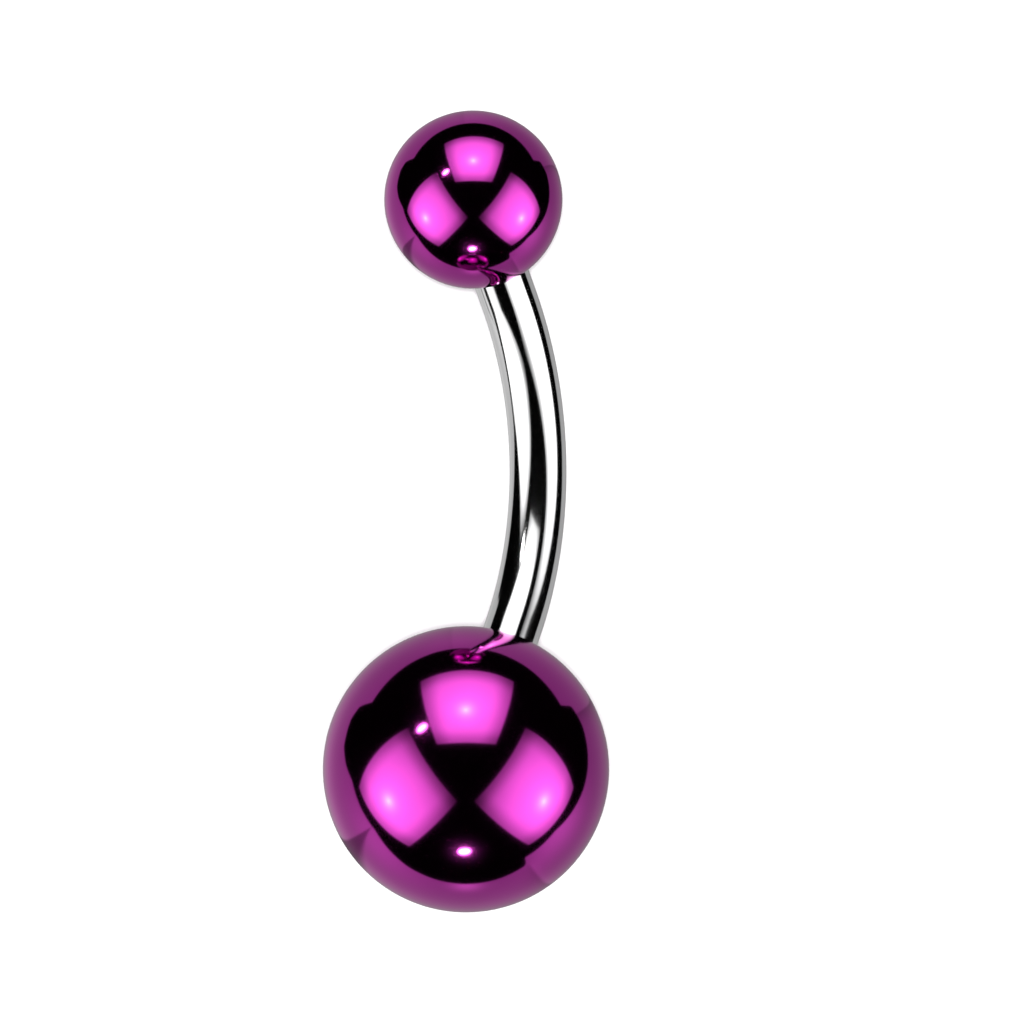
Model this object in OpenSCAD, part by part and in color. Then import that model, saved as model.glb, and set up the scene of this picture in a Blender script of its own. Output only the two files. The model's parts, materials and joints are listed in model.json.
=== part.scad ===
/* [Bar] */
// Thickness of the bar
bar_d = 1.6; // [1.2:0.1:2]
// Straight distance between the two shoulders that the balls seat on
bar_len = 10.55; // [8:0.05:14]
// Radius of the bend, to the middle of the bar
bend_r = 9.45; // [7.5:0.05:20]
// Length of the straight stretch between the bend and each shoulder
straight_len = 0.8; // [0.3:0.1:1.5]

/* [Balls] */
// Diameter of the upper, smaller ball
small_ball_d = 5; // [4:0.5:6]
// Diameter of the lower, larger ball
large_ball_d = 8; // [6.5:0.5:10]

/* [Thread] */
// Width of the shoulder round the foot of each threaded stub
shoulder_w = 0.1; // [0.08:0.01:0.15]
// Rise of the thread in one turn
thread_pitch = 0.3; // [0.25:0.05:0.35]
// Depth of the thread on the bar
thread_depth = 0.15; // [0.08:0.01:0.18]
// Length of each threaded stub, from its shoulder to its tip
stub_len = 2.1; // [1.5:0.1:2.4]
// Length of the plain neck between the shoulder and the first turn
neck_len = 0.25; // [0.1:0.05:0.4]
// Length of the rounded tip of each stub
tip_len = 0.35; // [0.2:0.05:0.5]
// Radius of the flat at the end of the rounded tip
tip_flat_r = 0.3; // [0.15:0.05:0.35]

/* [Clearances] */
// Gap all round the thread, which lets the balls draw off without turning
thread_gap = 0.03; // [0.02:0.01:0.05]
// Gap all round the bar where it enters a ball's mouth
mouth_gap = 0.05; // [0.04:0.01:0.08]
// Width of the mouth's floor outside the tapped thread
mouth_floor_w = 0.02; // [0.01:0.01:0.03]
// Depth of the shoulder below the rim of the mouth
shoulder_sink = 0.02; // [0.01:0.01:0.05]
// Gap between the shoulder and the floor of the mouth
seat_gap = 0.03; // [0.02:0.01:0.06]
// Gap between the tip of the stub and the full-width end of the tapped hole
hole_gap = 0.1; // [0.05:0.05:0.3]
// Length of the drill's point at the end of the tapped hole
drill_point = 0.35; // [0.2:0.05:0.5]

/* [Hidden] */
$fn = 96;

// Points round each ring of the threads, and rings to each turn
ring_points = 16;
turn_rings = 12;
// Rings down the drill's point
point_rings = 4;
// Share of a turn that the thread's root and crest each take up
thread_flat = 0.2;
// How far a cut or a joined solid reaches past the face that it starts from
overreach = 0.2;
// The straight ends are a hair thinner than the bend, and root in it by a short way
end_step = 0.005;
end_root = 0.1;
// Turn of the large ball's seam about its thread. It brings a corner of the facets that the ball gets when
// it is meshed over the point that lies on the floor, so that the ring leans on its bend as on round balls
large_seam_turn = -3.2;

bar_r = bar_d / 2;
small_r = small_ball_d / 2;
large_r = large_ball_d / 2;
mouth_r = bar_r + mouth_gap;
thread_r = bar_r - shoulder_w;
thread_root_r = thread_r - thread_depth;
// The tapped hole clears the thread at its crests, and its roots stay inside the mouth
hole_crest_r = thread_r + thread_gap;
hole_root_r = mouth_r - mouth_floor_w;
hole_len = stub_len + hole_gap;

// The bar turns by half_angle on each side of its middle, so that with its straight ends it spans bar_len
half_angle = asin(bar_len / 2 / norm([bend_r, straight_len])) - atan(straight_len / bend_r);
// Height of the bend's centre above the two shoulders
bend_centre_z = bend_r * cos(half_angle) - straight_len * sin(half_angle);

// Distance from a ball's centre to the shoulder seated in its mouth
function seat(ball_r) = sqrt(ball_r * ball_r - mouth_r * mouth_r) - shoulder_sink;
small_seat = seat(small_r);
large_seat = seat(large_r);

// Centres of the balls before the ring is laid down, as [x, z], shoulders at height 0
small_centre = [bar_len / 2 + small_seat * cos(half_angle), small_seat * sin(half_angle)];
large_centre = [-bar_len / 2 - large_seat * cos(half_angle), large_seat * sin(half_angle)];
centres = small_centre - large_centre;
centres_len = norm(centres);
// Rise of the line of centres over the line of shoulders
line_rise = atan(centres[1] / centres[0]);
// Fall of the line of centres when both balls lie on the floor
line_fall = asin((large_r - small_r) / centres_len);

// The bend's centre, counted from the large ball's along the line of centres and up from it
bend_along = bend_centre_z * sin(line_rise) - large_centre[0] * cos(line_rise)
    - large_centre[1] * sin(line_rise);
bend_above = (bend_centre_z - large_centre[1]) * cos(line_rise) + large_centre[0] * sin(line_rise);
// Laid down, the ring rolls about the line of centres until its bend lies on the floor. The middle
// line's lowest point is then bar_r high: reach + above * k = bend_r * norm([sin(fall), k * cos(fall)]),
// where k is the cosine of the roll. A bend too shallow for the floor hangs straight down.
low_reach = large_r - bend_along * sin(line_fall) - bar_r;
low_above = bend_above * cos(line_fall);
roll_root = sqrt(pow(low_reach * cos(line_fall), 2) + pow(low_above * sin(line_fall), 2)
                 - pow(bend_r * sin(line_fall) * cos(line_fall), 2));
roll_cos = (low_reach * low_above + bend_r * roll_root)
    / (pow(bend_r * cos(line_fall), 2) - pow(low_above, 2));
roll = acos(min(1, roll_cos));
// The origin lies under the middle of the ring's length
large_x = (large_r - small_r - centres_len * cos(line_fall)) / 2;

// Places a ring that is drawn with its shoulders level as it rests on the floor
module laid() {
    translate([large_x, 0, large_r]) rotate([0, line_fall, 0]) rotate([-roll, 0, 0])
        rotate([0, line_rise, 0]) translate([-large_centre[0], 0, -large_centre[1]]) children();
}

// Stands a shape on a shoulder, along the way out of the bar: side 1 upper end, -1 lower end
module at_shoulder(side) {
    translate([side * bar_len / 2, 0, 0])
        rotate([0, side * (90 - half_angle), 0]) children();
}

// Height of the thread over one turn, 0 at its root and 1 at its crest, for turn from 0 to 1
function thread_wave(turn) =
    min(1, max(0, (abs(2 * turn - 1) - thread_flat) / (1 - 2 * thread_flat)));

// Half width of the stub at height z before its thread is cut: neck, full width, rounded tip
function stub_envelope(z) =
    let (up_tip = (z - stub_len + tip_len) / tip_len)
    z <= neck_len ? thread_root_r
    : up_tip <= 0 ? thread_r
    : tip_flat_r + (thread_r - tip_flat_r) * sqrt(max(0, 1 - up_tip * up_tip));

function stub_r(z, turn) =
    min(stub_envelope(z), thread_root_r + thread_depth * thread_wave(turn));

// Half width of the tapped hole, which closes towards a point past its full length
function hole_r(z, turn) =
    (hole_root_r - (hole_root_r - hole_crest_r) * (1 - thread_wave(turn)))
    * min(1, (hole_len + drill_point - z) / drill_point);

// One ring of points at height z, turned as far as the thread has risen by there
function ring(z, radii) =
    [for (j = [0:ring_points - 1])
        let (a = 360 * (j / ring_points + z / thread_pitch))
        [radii[j] * cos(a), radii[j] * sin(a), z]];

// Closed solid through rings of points, with a flat at each end
module ringed(rings) {
    last = len(rings) - 1;
    sides = [for (i = [0:last - 1], j = [0:ring_points - 1])
        let (k = (j + 1) % ring_points, low = i * ring_points, high = low + ring_points)
        each [[low + j, high + k, low + k], [low + j, high + j, high + k]]];
    bottom = [for (j = [0:ring_points - 1]) j];
    top = [for (j = [ring_points - 1:-1:0]) last * ring_points + j];
    polyhedron(points = [for (r = rings) each r], faces = concat(sides, [bottom, top]),
               convexity = 10);
}

// Threaded stub on its shoulder, rooted in the bar
module threaded_stub() {
    steps = round(stub_len / thread_pitch * turn_rings);
    step = stub_len / steps;
    ringed([for (i = [-ceil(overreach / step):steps])
        ring(i * step, [for (j = [0:ring_points - 1]) stub_r(i * step, j / ring_points)])]);
}

// Space of the tapped hole, reaching out past the mouth's floor
module tapped_hole() {
    steps = round(hole_len / thread_pitch * turn_rings);
    step = hole_len / steps;
    heights = concat([for (i = [-ceil(overreach / step):steps]) i * step],
                     [for (i = [1:point_rings - 1]) hole_len + drill_point * i / point_rings]);
    ringed([for (z = heights)
        ring(z, [for (j = [0:ring_points - 1]) hole_r(z, j / ring_points)])]);
}

// Ball with a mouth for the shoulder and a tapped hole, drawn from the shoulder upwards
module tapped_ball(ball_r, seam_turn = 0) {
    difference() {
        translate([0, 0, seat(ball_r)]) rotate([0, 0, seam_turn]) sphere(r = ball_r);
        translate([0, 0, -overreach]) cylinder(r = mouth_r, h = overreach + seat_gap);
        tapped_hole();
    }
}

module curved_bar() color([0.78, 0.78, 0.8]) laid() {
    translate([0, 0, bend_centre_z]) rotate([90, 0, 0]) rotate([0, 0, -90 - half_angle])
        rotate_extrude(angle = 2 * half_angle) translate([bend_r, 0]) circle(r = bar_r);
    for (side = [-1, 1]) at_shoulder(side) {
        translate([0, 0, -straight_len - end_root])
            cylinder(r = bar_r - end_step, h = straight_len + end_root);
        threaded_stub();
    }
}

module upper_ball() color([0.62, 0.06, 0.58]) laid() at_shoulder(1) tapped_ball(small_r);

module lower_ball() color([0.62, 0.06, 0.58]) laid() at_shoulder(-1)
    tapped_ball(large_r, large_seam_turn);

curved_bar();
upper_ball();
lower_ball();
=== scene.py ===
"""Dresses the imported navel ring: a polished steel bar, two purple plated balls and the studio around them.

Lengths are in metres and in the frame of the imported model: X runs along the ring from the large ball to
the small one, and Z points up from the floor that the ring lies on.
"""

import json
import math
from collections import namedtuple

import bpy
import numpy as np
from bpy.props import FloatProperty, FloatVectorProperty, IntProperty, PointerProperty
from bpy.types import Operator, Panel, PropertyGroup
from mathutils import Matrix, Vector


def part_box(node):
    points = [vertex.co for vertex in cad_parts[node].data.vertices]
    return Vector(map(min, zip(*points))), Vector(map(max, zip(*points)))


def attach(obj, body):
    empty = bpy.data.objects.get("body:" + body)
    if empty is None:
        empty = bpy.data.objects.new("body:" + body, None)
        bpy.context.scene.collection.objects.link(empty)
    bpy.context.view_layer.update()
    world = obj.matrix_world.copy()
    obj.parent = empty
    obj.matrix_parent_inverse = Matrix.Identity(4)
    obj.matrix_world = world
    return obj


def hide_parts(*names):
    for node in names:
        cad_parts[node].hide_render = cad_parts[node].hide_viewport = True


bl_info = {
    "name": "Navel Ring",
    "version": (1, 0, 0),
    "blender": (4, 5, 0),
    "location": "3D View > Sidebar > Navel Ring",
    "description": "Builds a curved bar with two screwed balls, and the studio that shows it",
    "category": "Add Mesh",
}

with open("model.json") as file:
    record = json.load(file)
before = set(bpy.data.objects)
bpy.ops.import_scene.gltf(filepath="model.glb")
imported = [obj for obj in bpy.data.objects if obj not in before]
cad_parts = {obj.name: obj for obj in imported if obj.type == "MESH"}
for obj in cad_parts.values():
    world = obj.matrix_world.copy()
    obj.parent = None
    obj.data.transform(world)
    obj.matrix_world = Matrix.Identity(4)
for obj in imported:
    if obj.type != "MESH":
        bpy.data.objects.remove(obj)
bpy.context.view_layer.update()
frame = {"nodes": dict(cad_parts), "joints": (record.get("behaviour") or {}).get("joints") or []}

MM = 0.001

# Each ball by its node, with the body that it rides on and the name of its finished piece
Ball = namedtuple("Ball", "node body piece")
BALLS = (
    Ball(node="upper_ball", body="upper", piece="small_purple_ball"),
    Ball(node="lower_ball", body="lower", piece="large_purple_ball"),
)


def unit(vector):
    """The vector at length 1."""
    return vector / np.linalg.norm(vector)


# The way out of the bar at each end, along its thread
OUTWARD = {joint["child"]: np.array(joint["axis"], float) for joint in frame["joints"]}
# The bar's own directions: from its lower end to its upper one, to the centre of its bend, and sideways
ALONG = unit(OUTWARD["upper"] - OUTWARD["lower"])
INWARD = unit(OUTWARD["upper"] + OUTWARD["lower"])
SIDEWAYS = np.cross(INWARD, ALONG)
# How far the bar turns on each side of its middle
HALF_BEND = math.acos(OUTWARD["upper"] @ ALONG)


def rounded(length):
    """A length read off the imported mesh, to the nearest hundredth of a millimetre."""
    return round(length / MM, 2) * MM


def ball_size(node):
    """Radius and centre of a ball, which stands on the floor and reaches the ring's end on its own side."""
    low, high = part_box(node)
    radius = rounded((high.z - low.z) / 2)
    end = high.x if high.x + low.x > 0 else low.x
    return radius, np.array([end - math.copysign(radius, end), 0.0, radius])


def bar_thickness():
    """Thickness of the bar, which is its width across the plane of its bend."""
    vertices = frame["nodes"]["curved_bar"].data.vertices
    places = np.empty(3 * len(vertices))
    vertices.foreach_get("co", places)
    across = places.reshape(-1, 3) @ SIDEWAYS
    return rounded(across.max() - across.min())


class BarSizes(PropertyGroup):
    """Sizes of the bar and of the thread at its two ends."""

    thickness: FloatProperty(name="Thickness", description="Thickness of the bar",
                             default=bar_thickness(), min=0.5 * MM, unit="LENGTH", precision=5)
    straight: FloatProperty(name="Straight ends", description="Straight stretch from the bend to a shoulder",
                            default=0.8 * MM, min=0, unit="LENGTH", precision=5)
    edge_radius: FloatProperty(name="Shoulder edge", description="Rounding of the edge of each shoulder",
                               default=0.015 * MM, min=0, unit="LENGTH", precision=5)
    shoulder_width: FloatProperty(name="Shoulder", description="Width of the shoulder outside the thread",
                                  default=0.1 * MM, min=0, unit="LENGTH", precision=5)
    pitch: FloatProperty(name="Pitch", description="Rise of the thread in one turn",
                         default=0.3 * MM, min=0.1 * MM, unit="LENGTH", precision=5)
    depth: FloatProperty(name="Thread depth", description="Depth of the thread on the bar",
                         default=0.15 * MM, min=0, unit="LENGTH", precision=5)
    stub_length: FloatProperty(name="Stub", description="Length of each threaded stub from its shoulder",
                               default=2.1 * MM, min=0.5 * MM, unit="LENGTH", precision=5)
    neck_length: FloatProperty(name="Neck", description="Plain neck between the shoulder and the thread",
                               default=0.25 * MM, min=0, unit="LENGTH", precision=5)
    tip_length: FloatProperty(name="Tip", description="Length of the rounded tip of each stub",
                              default=0.35 * MM, min=0.05 * MM, unit="LENGTH", precision=5)
    tip_flat: FloatProperty(name="Tip flat", description="Radius of the flat at the end of each tip",
                            default=0.3 * MM, min=0, unit="LENGTH", precision=5)
    columns: IntProperty(name="Columns", description="Points round the bar", default=128, min=16)


class BallSizes(PropertyGroup):
    """Sizes of the mouth and the tapped hole in each ball, as gaps round the bar's own sizes."""

    mouth_gap: FloatProperty(name="Mouth gap", description="Gap round the bar where it enters the mouth",
                             default=0.05 * MM, min=0, unit="LENGTH", precision=5)
    mouth_floor: FloatProperty(name="Mouth floor", description="Width of the mouth's floor round the thread",
                               default=0.02 * MM, min=0, unit="LENGTH", precision=5)
    rim_radius: FloatProperty(name="Rim", description="Rounding of the mouth's rim",
                              default=0.02 * MM, min=0, unit="LENGTH", precision=5)
    sink: FloatProperty(name="Sink", description="Depth of the shoulder below the rim",
                        default=0.02 * MM, min=0, unit="LENGTH", precision=5)
    seat_gap: FloatProperty(name="Seat gap", description="Gap between the shoulder and the mouth's floor",
                            default=0.03 * MM, min=0, unit="LENGTH", precision=5)
    thread_gap: FloatProperty(name="Thread gap", description="Gap round the crests of the bar's thread",
                              default=0.03 * MM, min=0, unit="LENGTH", precision=5)
    end_gap: FloatProperty(name="End gap", description="Gap past the tip of the stub",
                           default=0.1 * MM, min=0, unit="LENGTH", precision=5)
    drill_point: FloatProperty(name="Drill point", description="Length of the point that ends the hole",
                               default=0.35 * MM, min=0, unit="LENGTH", precision=5)
    columns: IntProperty(name="Columns", description="Points round the ball", default=256, min=32)


class Finishes(PropertyGroup):
    """Colours and polish of the steel and of the plating."""

    steel: FloatVectorProperty(name="Steel", description="Colour of the polished steel",
                               default=(0.80, 0.80, 0.805), subtype="COLOR", min=0, max=1)
    plating: FloatVectorProperty(name="Plating", description="Colour of the purple plating",
                                 default=(0.42, 0.04, 0.33), subtype="COLOR", min=0, max=1)
    plating_edge: FloatVectorProperty(name="Plating edge", description="Tint of the plating seen edge on",
                                      default=(1.0, 0.82, 0.94), subtype="COLOR", min=0, max=1)
    steel_roughness: FloatProperty(name="Steel roughness", description="Mean roughness of the steel",
                                   default=0.09, min=0, max=1, subtype="FACTOR")
    plating_roughness: FloatProperty(name="Plating roughness", description="Mean roughness of the plating",
                                     default=0.08, min=0, max=1, subtype="FACTOR")


class StudioSettings(PropertyGroup):
    """The camera, the floor and the brightness of the lights."""

    azimuth: FloatProperty(name="Azimuth", description="Camera's turn about the vertical, 0 looks along +Y",
                           default=math.radians(90), subtype="ANGLE")
    elevation: FloatProperty(name="Elevation", description="Camera's height above the horizon",
                             default=math.radians(89.2), subtype="ANGLE")
    roll: FloatProperty(name="Roll", description="Camera's roll, which stands the ring up in the picture",
                        default=math.radians(180.72), subtype="ANGLE")
    distance: FloatProperty(name="Distance", description="Distance from the camera to the point it aims at",
                            default=317.9 * MM, unit="LENGTH", precision=4)
    aim: FloatVectorProperty(name="Aim", description="Point that the camera aims at",
                             default=(-0.0128 * MM, -1.194 * MM, 3.9 * MM), subtype="TRANSLATION")
    lens: FloatProperty(name="Lens", description="Focal length in millimetres", default=400)
    floor_radius: FloatProperty(name="Floor radius", description="Radius of the round floor",
                                default=0.6, unit="LENGTH")
    floor_colour: FloatVectorProperty(name="Floor", description="Colour of the floor",
                                      default=(0.93, 0.93, 0.93), subtype="COLOR", min=0, max=1)
    ambient: FloatProperty(name="Ambient", description="Brightness of the even light from all round",
                           default=0.45, min=0)
    backdrop: FloatProperty(name="Backdrop", description="Brightness of what the camera sees past the floor",
                            default=1, min=0)
    key_strength: FloatProperty(name="Key light", description="Strength of the soft light from above",
                                default=3.6, min=0)
    key_width: FloatProperty(name="Key width", description="Angle that the soft light from above fills",
                             default=math.radians(8), subtype="ANGLE")


class Wire:
    """Output of a shader node. Arithmetic on wires, and on wires and numbers, adds Math nodes."""

    def __init__(self, tree, socket=None):
        self.tree = tree
        self.socket = socket

    def node(self, kind, settings, inputs, output=0):
        """Adds a node of that kind: first its settings, then the values or wires of its sockets.

        The setting curve is the list of points of a Float Curve, which are joined by straight lines.
        """
        node = self.tree.nodes.new(kind)
        for name, value in settings.items():
            if name == "curve":
                line = node.mapping.curves[0].points
                line[0].location = value[0]
                line[1].location = value[-1]
                for place in value[1:-1]:
                    line.new(*place)
                for point in line:
                    point.handle_type = "VECTOR"
                node.mapping.update()
            else:
                setattr(node, name, value)
        for name, value in inputs.items():
            if isinstance(value, Wire):
                self.tree.links.new(value.socket, node.inputs[name])
            else:
                node.inputs[name].default_value = value
        return Wire(self.tree, node.outputs[output])

    def maths(self, operation, *others):
        """One Math node, with this wire as its first value."""
        values = dict(enumerate((self, *others)))
        return self.node("ShaderNodeMath", {"operation": operation}, values)

    def __add__(self, other):
        return self.maths("ADD", other)

    def __radd__(self, other):
        return self.maths("ADD", other)

    def __sub__(self, other):
        return self.maths("SUBTRACT", other)

    def __rsub__(self, other):
        return self.node("ShaderNodeMath", {"operation": "SUBTRACT"}, {0: other, 1: self})

    def __mul__(self, other):
        return self.maths("MULTIPLY", other)

    def __rmul__(self, other):
        return self.maths("MULTIPLY", other)

    def __truediv__(self, other):
        return self.maths("DIVIDE", other)

    def fading(self, reach):
        """Falls off from 1 as e to the power of minus this wire over reach."""
        return (self * (-1 / reach)).maths("EXPONENT")

    def rising(self, start, end):
        """Rises smoothly from 0 to 1 as this wire goes from start to end."""
        values = {"Value": self, "From Min": start, "From Max": end}
        return self.node("ShaderNodeMapRange", {"interpolation_type": "SMOOTHSTEP"}, values)

    def along(self, direction):
        """Dot product of this vector with a fixed direction."""
        values = {0: self, 1: tuple(direction)}
        return self.node("ShaderNodeVectorMath", {"operation": "DOT_PRODUCT"}, values, output="Value")

    def degrees_from(self, direction):
        """Angle in degrees between this unit vector and a fixed unit direction."""
        return self.along(direction).maths("ARCCOSINE") * math.degrees(1)


def finished_mesh(name, points, first, last):
    """A closed mesh through rings of points, each ring closed on itself, and the ends on two poles.

    points has one row of columns for each ring, in order from the first pole to the last one. Each pair of
    neighbouring rings is joined by quads, and each end ring by triangles to its pole.
    """
    rings, columns, _ = points.shape
    places = np.concatenate([points.reshape(-1, 3), [first, last]])
    corner = np.arange(rings * columns).reshape(rings, columns)
    beside = np.roll(corner, -1, axis=1)
    quads = np.stack([corner[:-1], beside[:-1], beside[1:], corner[1:]], axis=-1).reshape(-1, 4)
    first_fan = np.stack([np.full(columns, rings * columns), beside[0], corner[0]], axis=-1)
    last_fan = np.stack([np.full(columns, rings * columns + 1), corner[-1], beside[-1]], axis=-1)
    mesh = bpy.data.meshes.new(name)
    mesh.from_pydata(places.tolist(), [], quads.tolist() + first_fan.tolist() + last_fan.tolist())
    mesh.shade_smooth()
    mesh.update()
    return mesh


def add_piece(mesh, material, node, body):
    """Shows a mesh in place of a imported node, riding on that node's body."""
    piece = bpy.data.objects.new(mesh.name, mesh)
    bpy.context.scene.collection.objects.link(piece)
    mesh.materials.append(material)
    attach(piece, body)
    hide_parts(node)


# Shares of a turn that the thread's root and its crest each take up, and that its run-in does
THREAD_FLAT = 0.2
RUN_IN_SHARE = 1 / 4
# Rings to each turn of the thread, on the stubs and in the holes
THREAD_STEPS = 20
HOLE_STEPS = 15
# Rings along the bar between its shoulders, down a ball, round a sharp edge and round a mouth's rim
BAR_RINGS = 241
BALL_RINGS = 129
EDGE_RINGS = 8
RIM_RINGS = 13
# Rings along each short face of a stub, along its run-in and round its tip, and down the drill's point
FACE_RINGS = 6
RUN_IN_RINGS = 8
TIP_RINGS = 24
POINT_RINGS = 13
# Share of a face's width between its edge and the extra ring that keeps its shading flat
SUPPORT_SHARE = 1 / 8


def thread_height(round_axis, up, pitch):
    """Height of a thread at an angle round its axis and a height up it, 0 at its root and 1 at its crest.

    The turn is the angle in turns less the height in pitches. The crest lies at a turn of 0 and the root at
    a half, each a fifth of a turn wide, and the flanks between them rise along a smooth step.
    """
    turn = (round_axis / (2 * np.pi) - up / pitch) % 1
    rise = np.clip((np.abs(2 * turn - 1) - THREAD_FLAT) / (1 - 2 * THREAD_FLAT), 0, 1)
    return rise * rise * (3 - 2 * rise)


def spaced(start, end, count):
    """Evenly spaced numbers from start up to end, without end itself."""
    return np.linspace(start, end, count, endpoint=False)


def stub_rows(sizes):
    """Heights above the shoulder of the rings of one stub, and the half width of its blank at each.

    The blank starts in the shoulder's face, has a plain neck as wide as the thread's root, widens over a
    run-in to the thread's full width, and ends in a tip rounded along a quarter ellipse and a small flat.
    """
    full = sizes.thickness / 2 - sizes.shoulder_width
    root = full - sizes.depth
    fillet = sizes.edge_radius
    run_in = sizes.pitch * RUN_IN_SHARE
    tip_start = sizes.stub_length - sizes.tip_length
    step = sizes.pitch / THREAD_STEPS
    face = spaced(sizes.thickness / 2 - fillet, root + fillet, FACE_RINGS)
    turn = spaced(0, np.pi / 2, FACE_RINGS)
    neck = spaced(fillet, sizes.neck_length, FACE_RINGS)
    body_start = sizes.neck_length + run_in
    rise = spaced(sizes.neck_length, body_start, RUN_IN_RINGS)
    body = spaced(body_start, tip_start, round((tip_start - body_start) / step))
    bow = spaced(0, np.pi / 2, TIP_RINGS)
    flat = spaced(sizes.tip_flat, 0, FACE_RINGS)
    ramp = (rise - sizes.neck_length) / run_in
    heights = [np.zeros_like(face), fillet * (1 - np.cos(turn)), neck, rise, body,
               tip_start + sizes.tip_length * np.sin(bow), np.full_like(flat, sizes.stub_length)]
    widths = [face, root + fillet * (1 - np.sin(turn)), np.full_like(neck, root),
              root + sizes.depth * ramp * ramp * (3 - 2 * ramp), np.full_like(body, full),
              sizes.tip_flat + (full - sizes.tip_flat) * np.cos(bow), flat]
    return np.concatenate(heights), np.concatenate(widths)


def bar_surface(sizes, gaps):
    """Points of the bar's surface, one row for each ring from the lower tip to the upper one, and its tips.

    The middle line is an arc with a straight stretch at each end, on which the stubs follow. A place on it
    is given by its distance s from the middle of the arc. Within the arc the line turns by s over the
    bend's radius, and past an end it runs on straight. Round it a ring of radius r has the points
    line + r (cos a u + sin a y), where u points away from the bend's centre and y runs sideways. The radius
    is the bar's own up to each shoulder, falls along a quarter circle there, and past the neck of each stub
    is the smaller of the blank's and the thread's. Two rings close together at each shoulder keep the
    shading straight up to its edge.
    """
    (upper_radius, upper_centre), (lower_radius, lower_centre) = (ball_size(ball.node) for ball in BALLS)
    upper_way, lower_way = (OUTWARD[ball.body] for ball in BALLS)
    upper_shoulder = upper_centre - upper_way * seat(upper_radius, sizes, gaps)
    lower_shoulder = lower_centre - lower_way * seat(lower_radius, sizes, gaps)
    span = np.linalg.norm(upper_shoulder - lower_shoulder)
    turn_across, turn_up = math.sin(HALF_BEND), math.cos(HALF_BEND)
    bend_radius = (span / 2 - sizes.straight * turn_up) / turn_across
    bend_height = bend_radius * turn_up - sizes.straight * turn_across
    bend_centre = (upper_shoulder + lower_shoulder) / 2 + bend_height * INWARD

    arc_half = bend_radius * HALF_BEND
    half = arc_half + sizes.straight
    edge = sizes.edge_radius
    heights, widths = stub_rows(sizes)
    corner = spaced(0, np.pi / 2, EDGE_RINGS)
    ends = np.array([-1, 1]) * (half - edge)
    arc = np.concatenate([ends[:1], np.linspace(*(ends * (1 - edge / half)), BAR_RINGS), ends[1:]])
    edge_s = half - edge + edge * np.sin(corner)
    edge_r = sizes.thickness / 2 - edge + edge * np.cos(corner)
    s = np.concatenate([-(half + heights)[::-1], -edge_s[::-1], arc, edge_s, half + heights])
    arc_r = np.full_like(arc, sizes.thickness / 2)
    blank = np.concatenate([widths[::-1], edge_r[::-1], arc_r, edge_r, widths])

    angle = spaced(0, 2 * np.pi, sizes.columns)[None, :]
    up = (np.abs(s) - half)[:, None]
    local_angle = np.where(s[:, None] > 0, angle, np.pi - angle)
    root = sizes.thickness / 2 - sizes.shoulder_width - sizes.depth
    thread = root + sizes.depth * thread_height(local_angle, up, sizes.pitch)
    threaded = up > sizes.neck_length
    radius = np.where(threaded, np.minimum(blank[:, None], thread), blank[:, None])

    within = np.clip(s, -arc_half, arc_half)
    turned = within / bend_radius
    away = ALONG * np.sin(turned)[:, None] - INWARD * np.cos(turned)[:, None]
    onward = ALONG * np.cos(turned)[:, None] + INWARD * np.sin(turned)[:, None]
    line = bend_centre + bend_radius * away + onward * (s - within)[:, None]
    ring = np.cos(angle)[..., None] * away[:, None, :] + np.sin(angle)[..., None] * SIDEWAYS
    points = line[:, None, :] + radius[..., None] * ring
    return points, line[0], line[-1]


def seat(ball_radius, bar, gaps):
    """Distance from a ball's centre to the shoulder that it is screwed down to."""
    mouth = bar.thickness / 2 + gaps.mouth_gap
    return math.sqrt(ball_radius ** 2 - mouth ** 2) - gaps.sink


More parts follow.
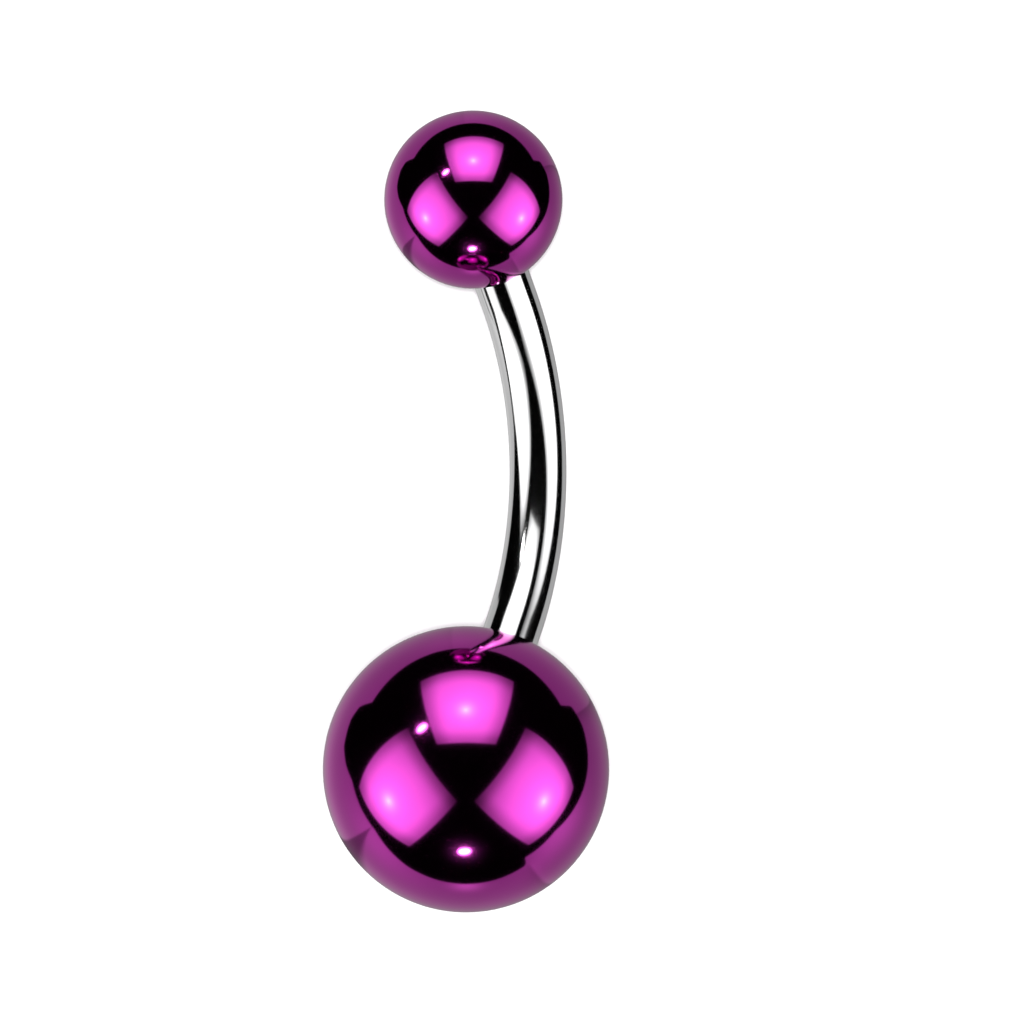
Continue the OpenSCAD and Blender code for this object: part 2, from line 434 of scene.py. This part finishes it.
def ball_surface(radius, centre, way, bar, gaps):
    """Points of a ball's surface, one row for each ring, from its far pole over the mouth into its hole.

    Each ring has a half width and a height above the shoulder, along the way out of the bar. The rings run
    down the sphere, round the mouth's rim along an arc that touches both sphere and mouth, along the
    mouth's wall and floor, up the tapped hole, whose half width follows its thread, and along the drill's
    point to its end. On the sphere and the arc, a ring's half width is the sine and its height the cosine
    of its angle, times the radius, counted from the centre of the sphere or the arc.
    """
    mouth = bar.thickness / 2 + gaps.mouth_gap
    crest = bar.thickness / 2 - bar.shoulder_width + gaps.thread_gap
    root = mouth - gaps.mouth_floor
    depth = bar.stub_length + gaps.end_gap
    middle = seat(radius, bar, gaps)
    rim = gaps.rim_radius
    rim_width = mouth + rim
    rim_height = middle - math.sqrt((radius - rim) ** 2 - rim_width ** 2)
    rim_start = math.pi - math.asin(rim_width / (radius - rim))
    rim_end = 1.5 * math.pi
    support = gaps.mouth_floor * SUPPORT_SHARE

    globe = np.linspace(0, rim_start, BALL_RINGS)[1:]
    bow = np.linspace(rim_start, rim_end, RIM_RINGS)[1:]
    wall = np.array([gaps.seat_gap - support, gaps.seat_gap])
    floor = np.array([gaps.seat_gap])
    hole = np.linspace(gaps.seat_gap, depth, round((depth - gaps.seat_gap) / bar.pitch * HOLE_STEPS))
    point = np.linspace(0, 1, POINT_RINGS)[1:-1]
    height = np.concatenate([middle + radius * np.cos(globe), rim_height + rim * np.cos(bow), wall, floor,
                             hole, depth + gaps.drill_point * point])
    plain = np.concatenate([radius * np.sin(globe), rim_width + rim * np.sin(bow),
                            np.full_like(wall, mouth), np.full_like(floor, mouth - support)])

    angle = spaced(0, 2 * np.pi, gaps.columns)[None, :]
    tapped = crest + (root - crest) * thread_height(angle, hole[:, None], bar.pitch)
    ending = tapped[-1] * (1 - point[:, None])
    width = np.concatenate([np.repeat(plain[:, None], gaps.columns, axis=1), tapped, ending])

    out = np.cross(SIDEWAYS, way)
    ring = np.cos(angle)[..., None] * out + np.sin(angle)[..., None] * SIDEWAYS
    shoulder = centre - way * middle
    points = shoulder + height[:, None, None] * way + width[..., None] * ring
    return points, centre + way * radius, shoulder + way * (depth + gaps.drill_point)


# Sizes of the broad patches and of the fine haze in the polish, and what each adds to the roughness, as
# shares of its mean. Their noises are a half on average, so both shares and the least one make up the mean
PATCH_SIZE = 1.7 * MM
HAZE_SIZE = 0.12 * MM
PATCH_SHARE = 0.4
HAZE_SHARE = 0.2
LEAST_SHARE = 0.7
# Size of the patches in the tone, the two values of their noise between which the tone changes, and the
# darkest tone as a share of the colour
TONE_SIZE = 2.5 * MM
TONE_SPAN = (0.35, 0.65)
DEEPEST_TONE = 0.93
# Height of the waves left by polishing, and their sizes on the bar and on the balls
WAVE_HEIGHT = 0.0006 * MM
STEEL_WAVE = 0.5 * MM
PLATING_WAVE = 0.7 * MM
# The Mix node's sockets for colours, by number, because the sockets for other kinds have the same names
MIX_FIRST = 6
MIX_SECOND = 7
MIX_RESULT = 2


def metal(name, colour, roughness, wave_size, edge=(1, 1, 1)):
    """A polished metal whose polish and tone vary a little, with slight waves left by polishing.

    Two noises of the object's place, one broad and one fine, shift the roughness. A third one tints the
    colour, and a fourth one raises a bump with waves of the given size. Seen edge on, the metal mirrors
    light in the tint edge.
    """
    material = bpy.data.materials.new(name)
    material.use_nodes = True
    tree = material.node_tree
    shader = tree.nodes["Principled BSDF"]
    start = Wire(tree)
    place = start.node("ShaderNodeTexCoord", {}, {}, output="Object")

    def noise(size, detail):
        values = {"Vector": place, "Scale": 1 / size, "Detail": detail}
        return start.node("ShaderNodeTexNoise", {}, values)

    patches = noise(PATCH_SIZE, detail=2)
    haze = noise(HAZE_SIZE, detail=4)
    tone = noise(TONE_SIZE, detail=1).rising(*TONE_SPAN)
    waves = noise(wave_size, detail=1)
    grain = roughness * (LEAST_SHARE + PATCH_SHARE * patches + HAZE_SHARE * haze)
    deep = tuple(DEEPEST_TONE * part for part in colour)
    tones = {"Factor": tone, MIX_FIRST: (*deep, 1), MIX_SECOND: (*colour, 1)}
    tinted = start.node("ShaderNodeMix", {"data_type": "RGBA"}, tones, output=MIX_RESULT)
    bump = start.node("ShaderNodeBump", {}, {"Strength": 1.0, "Distance": WAVE_HEIGHT, "Height": waves})
    shader.inputs["Metallic"].default_value = 1.0
    shader.inputs["Specular Tint"].default_value = (*edge, 1)
    tree.links.new(tinted.socket, shader.inputs["Base Color"])
    tree.links.new(grain.socket, shader.inputs["Roughness"])
    tree.links.new(bump.socket, shader.inputs["Normal"])
    return material


def camera_axes(studio):
    """Right, up and back of the camera at its rest place, as the columns of a matrix."""
    turn, rise, roll = studio.azimuth, studio.elevation, studio.roll
    back = np.array([math.sin(turn) * math.cos(rise), -math.cos(turn) * math.cos(rise), math.sin(rise)])
    level = np.array([math.cos(turn), math.sin(turn), 0.0])
    upright = np.cross(back, level)
    right = math.cos(roll) * level + math.sin(roll) * upright
    up = math.cos(roll) * upright - math.sin(roll) * level
    return np.column_stack([right, up, back])


# Each soft box that the balls reflect, as seen from the ring. A place is a pair of degrees: how far it lies
# from the camera, and where it lies round the camera, from its right over its top
SoftBox = namedtuple("SoftBox", "corners bulb")
SOFT_BOXES = (
    SoftBox(corners=((88.3, 117.7), (89.5, 61.2), (32.1, 40.6), (31.4, 138.3)), bulb=(50.0, 90.0)),
    SoftBox(corners=((60.2, 143.1), (25.2, -104.7), (82.6, -126.1), (97.7, -170.5)), bulb=(70.5, 202.0)),
    SoftBox(corners=((61.7, 36.0), (25.2, -75.7), (85.6, -50.7), (99.0, -10.0)), bulb=(71.5, 338.0)),
)
# How softly a box ends, how far in from an edge its cloth still brightens, and the edge's share of the
# brightness further in
BOX_EDGE = math.radians(0.9)
BOX_REACH = math.radians(14)
BOX_EDGE_SHARE = 0.52
# Brightness of the cloth near its bulb, and how far from the bulb, in degrees, it starts to fall and is 0
CLOTH_BRIGHTNESS = 2.93
CLOTH_BRIGHT = 12
CLOTH_DARK = 70
# Brightness of the bulb behind the cloth, and the degrees over which its light falls off
BULB_BRIGHTNESS = 19
BULB_REACH = 3.2

# The bare lamps beside the soft boxes, each an ellipse about two points, with the haze of light round it
Lamp = namedtuple("Lamp", "points haze")
LAMPS = (
    Lamp(points=((49.8, 131.8), (51.0, 140.2)), haze=0.6),
    Lamp(points=((67.6, 271.8), (69.2, 266.2)), haze=2.5),
)
LAMP_BRIGHTNESS = 40
# Half the length of a lamp, how softly it ends and how far its haze reaches, in degrees
LAMP_REACH = 3.9
LAMP_EDGE = 1.2
HAZE_REACH = 2.6

# Where the dark side of the studio ends and its pale wall begins: the place round the camera, from its
# right over its top, and how far from the camera the wall begins there, both in degrees
DARK_EDGE = (
    (0, 115.5), (10, 118), (20, 119.8), (30.5, 117.5), (33.5, 105.5), (45, 108.5), (60, 112.3), (75, 115),
    (90, 115.5), (105, 115), (120, 112.8), (135, 109), (145, 106.5), (150, 118), (157, 121.3), (170, 119),
    (178, 113), (186, 104.5), (200, 101), (214, 97.5), (225, 99.5), (240, 102.3), (255, 103.4), (270, 104),
    (285, 103.6), (302, 102), (303.5, 93.5), (325, 96.5), (337, 104), (350, 111.5), (360, 115.5),
)
DARK_EDGE_SOFTNESS = 1.6
# Brightness of the dark side
DARKNESS = 0.001

# Lighter places on the pale wall, and how many degrees each one reaches
Glow = namedtuple("Glow", "place brightness reach")
GLOWS = (
    Glow(place=(104, 220), brightness=0.33, reach=20),
    Glow(place=(99, 328), brightness=0.62, reach=20),
    Glow(place=(107, 270), brightness=0.6, reach=7),
    Glow(place=(127, 93), brightness=0.12, reach=14),
    Glow(place=(158, 190), brightness=0.22, reach=22),
)

# Folds of the wall, which run away from the camera at one place round it. At a fold the brightness changes
# by a share, and the change fades over so many degrees round the camera, backwards if they are below 0
Fold = namedtuple("Fold", "around share reach")
FOLDS = (
    Fold(around=303.5, share=0.25, reach=3),
    Fold(around=303.5, share=-0.3, reach=-4),
    Fold(around=26.5, share=-0.5, reach=-5),
    Fold(around=96, share=-0.12, reach=6),
)
# How softly the change sets in at a fold, and how far from the camera folds start and are full, in degrees
FOLD_EDGE = 0.8
FOLD_START = 98
FOLD_FULL = 112

# A dark wedge in the wall, from a sharp side at one place round the camera to a soft one. It opens from its
# tip, so many degrees from the camera, by so many degrees round the camera for each degree further. Its
# sides are shares of its width, counted from the sharp one
WEDGE_AROUND = 211.5
WEDGE_SHARE = 0.62
WEDGE_TIP = 100
WEDGE_OPENING = 0.28
WEDGE_SHARP_SIDE = (0, 0.12)
WEDGE_SOFT_SIDE = (1.1, 0.55)

# Brightness of the wall, and what it loses towards the camera's right and its top
WALL_BRIGHTNESS = 0.48
WALL_FALL_TO_RIGHT = 0.07
WALL_FALL_TO_TOP = 0.05
# The share that it loses behind the ring, and how far from the camera, in degrees, that starts and is full
WALL_FALL_BEHIND = 0.35
BEHIND_START = 140
BEHIND_FULL = 172


def direction_of(place, axes):
    """Unit direction, in the ring's frame, of a place in the studio given as its pair of degrees."""
    off, around = (math.radians(part) for part in place)
    across = math.sin(off)
    return axes @ np.array([across * math.cos(around), across * math.sin(around), math.cos(off)])


def soft_box_light(ray, box, axes):
    """Light of one soft box: its cloth fades towards each of its four edges, and its bulb shines through.

    An edge is the great circle through two corners, and the sine of the ray's angle inside it is the dot
    product with the circle's normal. The box is there where all four are above 0. The bulb's light falls
    off as e to the power of minus the angle from it, and lights the cloth, which darkens away from it.
    """
    corners = [direction_of(corner, axes) for corner in box.corners]
    middle = unit(sum(corners))
    from_bulb = ray.degrees_from(direction_of(box.bulb, axes))
    cloth = CLOTH_BRIGHTNESS * from_bulb.rising(CLOTH_DARK, CLOTH_BRIGHT)
    inside = 1.0
    for here, there in zip(corners, corners[1:] + corners[:1]):
        normal = unit(np.cross(here, there))
        depth = ray.along(normal * np.sign(normal @ middle))
        inside = depth.rising(0, BOX_EDGE) * inside
        cloth = (BOX_EDGE_SHARE + (1 - BOX_EDGE_SHARE) * depth.rising(0, BOX_REACH)) * cloth
    return inside * (cloth + BULB_BRIGHTNESS * from_bulb.fading(BULB_REACH))


def wall_light(ray, axes):
    """Light of the pale wall, which begins where the dark side of the studio ends.

    A glow falls off as e to the power of minus the square of the angle from it over its reach. A fold
    changes the light from its own place on, and the change fades as e to the power of minus the angle past
    it over its reach. In the wedge the light is lower, by how far a place lies across it as a share of its
    width there.
    """
    right, up, back = axes.T
    around = ray.along(up).maths("ARCTAN2", ray.along(right)) / (2 * math.pi)
    turn = around.maths("FRACT")
    places = [(around_degrees / 360, off / 180) for around_degrees, off in DARK_EDGE]
    edge = turn.node("ShaderNodeFloatCurve", {"curve": places}, {"Value": turn}) * 180
    off = ray.degrees_from(back)
    past = (off - edge).rising(0, DARK_EDGE_SOFTNESS)
    light = WALL_BRIGHTNESS - WALL_FALL_TO_RIGHT * ray.along(right) - WALL_FALL_TO_TOP * ray.along(up)
    for glow in GLOWS:
        nearness = ray.degrees_from(direction_of(glow.place, axes)) / glow.reach
        light = light + (nearness * nearness).fading(1) * glow.brightness
    for fold in FOLDS:
        after = (turn * 360 - fold.around) * math.copysign(1, fold.reach)
        change = after.rising(0, FOLD_EDGE) * after.maths("MAXIMUM", 0).fading(abs(fold.reach)) * fold.share
        light = light * (1 + change * off.rising(FOLD_START, FOLD_FULL))
    across = (turn * 360 - WEDGE_AROUND) / ((off - WEDGE_TIP).maths("MAXIMUM", 1) * WEDGE_OPENING)
    light = light * (1 - WEDGE_SHARE * across.rising(*WEDGE_SHARP_SIDE) * across.rising(*WEDGE_SOFT_SIDE))
    return past * light * (1 - WALL_FALL_BEHIND * off.rising(BEHIND_START, BEHIND_FULL))


def make_world(studio, axes):
    """The studio as the metal reflects it, and an even pale light for all else.

    The reflected studio has three soft boxes, two bare lamps and a dark side that ends at a pale wall. It
    stands still round the ring when the camera moves. A lamp shines where a ray's angles from its two
    points are LAMP_REACH on average or less.
    """
    world = bpy.data.worlds.new("studio")
    bpy.context.scene.world = world
    world.use_nodes = True
    world.cycles.sampling_method = "NONE"
    tree = world.node_tree
    tree.nodes.clear()
    start = Wire(tree)
    ray = start.node("ShaderNodeTexCoord", {}, {}, output="Generated")
    ray = ray.node("ShaderNodeVectorMath", {"operation": "NORMALIZE"}, {0: ray})

    light = wall_light(ray, axes) + DARKNESS
    for box in SOFT_BOXES:
        light = light + soft_box_light(ray, box, axes)
    for lamp in LAMPS:
        one, other = (ray.degrees_from(direction_of(point, axes)) for point in lamp.points)
        angle = (one + other) / 2
        bulb = LAMP_BRIGHTNESS * (1 - angle.rising(LAMP_REACH - LAMP_EDGE, LAMP_REACH + LAMP_EDGE))
        light = light + bulb + lamp.haze * angle.fading(HAZE_REACH)

    path = "ShaderNodeLightPath"
    seen = start.node(path, {}, {}, output="Is Camera Ray")
    reflected = start.node(path, {}, {}, output="Is Glossy Ray")
    scattered = start.node(path, {}, {}, output="Diffuse Depth").rising(0, 1)
    even = studio.ambient + (studio.backdrop - studio.ambient) * seen
    in_metal = reflected * (1 - scattered)
    strength = even + in_metal * (light - even)
    background = start.node("ShaderNodeBackground", {}, {"Color": (1, 1, 1, 1), "Strength": strength})
    output = tree.nodes.new("ShaderNodeOutputWorld")
    tree.links.new(background.socket, output.inputs["Surface"])


# Points round the floor's edge
FLOOR_COLUMNS = 96


def make_floor(studio):
    """A wide round floor at height 0, pale and matt, which the metal doesn't mirror."""
    angle = spaced(0, 2 * np.pi, FLOOR_COLUMNS)
    rim = np.stack([np.cos(angle), np.sin(angle), np.zeros_like(angle)], axis=-1) * studio.floor_radius
    mesh = bpy.data.meshes.new("pale_floor")
    mesh.from_pydata(rim.tolist(), [], [list(range(FLOOR_COLUMNS))])
    material = bpy.data.materials.new("pale_floor")
    material.use_nodes = True
    shader = material.node_tree.nodes["Principled BSDF"]
    shader.inputs["Base Color"].default_value = (*studio.floor_colour, 1)
    shader.inputs["Roughness"].default_value = 1.0
    shader.inputs["Specular IOR Level"].default_value = 0.0
    mesh.materials.append(material)
    floor = bpy.data.objects.new("pale_floor", mesh)
    bpy.context.scene.collection.objects.link(floor)
    floor.visible_glossy = False


def make_key_light(studio, axes):
    """A soft light from behind the camera, which lights the floor and hides the shadow behind the ring."""
    light = bpy.data.lights.new("soft_light", "SUN")
    light.energy = studio.key_strength
    light.angle = studio.key_width
    lamp = bpy.data.objects.new("soft_light", light)
    bpy.context.scene.collection.objects.link(lamp)
    lamp.rotation_euler = Matrix(axes.tolist()).to_euler()
    lamp.visible_glossy = False
    lamp.visible_camera = False


# Width of the camera's sensor in millimetres, and the nearest and furthest that it sees, in metres
SENSOR_WIDTH = 36
NEAREST = 0.01
FURTHEST = 10


def make_camera(studio, axes):
    """The camera at the photograph's angle to the ring."""
    data = bpy.data.cameras.new("camera")
    data.lens = studio.lens
    data.sensor_width = SENSOR_WIDTH
    data.clip_start = NEAREST
    data.clip_end = FURTHEST
    camera = bpy.data.objects.new("camera", data)
    bpy.context.scene.collection.objects.link(camera)
    place = Vector(studio.aim) + Vector(axes[:, 2]) * studio.distance
    camera.matrix_world = Matrix.Translation(place) @ Matrix(axes.tolist()).to_4x4()
    bpy.context.scene.camera = camera


class NAVELRING_OT_make_bar(Operator):
    """Builds the polished bar with its two threaded ends"""

    bl_idname = "navel_ring.make_bar"
    bl_label = "Make the Bar"

    def execute(self, context):
        scene = context.scene
        finishes = scene.navel_ring_finishes
        steel = metal("polished_steel", finishes.steel, finishes.steel_roughness, STEEL_WAVE)
        points, first, last = bar_surface(scene.navel_ring_bar, scene.navel_ring_balls)
        mesh = finished_mesh("polished_bar", points, first, last)
        add_piece(mesh, steel, node="curved_bar", body="bar")
        return {"FINISHED"}


class NAVELRING_OT_make_balls(Operator):
    """Builds both plated balls, each with its mouth and tapped hole"""

    bl_idname = "navel_ring.make_balls"
    bl_label = "Make the Balls"

    def execute(self, context):
        scene = context.scene
        finishes = scene.navel_ring_finishes
        plating = metal("purple_plating", finishes.plating, finishes.plating_roughness, PLATING_WAVE,
                        edge=finishes.plating_edge)
        for ball in BALLS:
            radius, centre = ball_size(ball.node)
            points, first, last = ball_surface(radius, centre, OUTWARD[ball.body],
                                               scene.navel_ring_bar, scene.navel_ring_balls)
            mesh = finished_mesh(ball.piece, points, first, last)
            add_piece(mesh, plating, node=ball.node, body=ball.body)
        return {"FINISHED"}


class NAVELRING_OT_make_stage(Operator):
    """Sets up the floor, the lights and the camera"""

    bl_idname = "navel_ring.make_stage"
    bl_label = "Make the Stage"

    def execute(self, context):
        studio = context.scene.navel_ring_studio
        axes = camera_axes(studio)
        make_camera(studio, axes)
        make_floor(studio)
        make_key_light(studio, axes)
        make_world(studio, axes)
        context.scene.view_settings.view_transform = "Standard"
        return {"FINISHED"}


class NAVELRING_PT_panel(Panel):
    """Lists the settings and the steps"""

    bl_idname = "NAVELRING_PT_panel"
    bl_label = "Navel Ring"
    bl_space_type = "VIEW_3D"
    bl_region_type = "UI"
    bl_category = "Navel Ring"

    def draw(self, context):
        for name, kind in SETTINGS.items():
            column = self.layout.column()
            for setting in kind.__annotations__:
                column.prop(getattr(context.scene, name), setting)
        for step in STEPS:
            self.layout.operator(step.bl_idname)


SETTINGS = {
    "navel_ring_bar": BarSizes,
    "navel_ring_balls": BallSizes,
    "navel_ring_finishes": Finishes,
    "navel_ring_studio": StudioSettings,
}
STEPS = (NAVELRING_OT_make_bar, NAVELRING_OT_make_balls, NAVELRING_OT_make_stage)
CLASSES = (*SETTINGS.values(), *STEPS, NAVELRING_PT_panel)


def register():
    for kind in CLASSES:
        bpy.utils.register_class(kind)
    for name, kind in SETTINGS.items():
        setattr(bpy.types.Scene, name, PointerProperty(type=kind))


def unregister():
    for name in SETTINGS:
        delattr(bpy.types.Scene, name)
    for kind in reversed(CLASSES):
        bpy.utils.unregister_class(kind)


def main():
    """Registers the add-on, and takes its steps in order."""
    register()
    for step in STEPS:
        group, name = step.bl_idname.split(".")
        getattr(getattr(bpy.ops, group), name)()


if __name__ == "__main__":
    main()
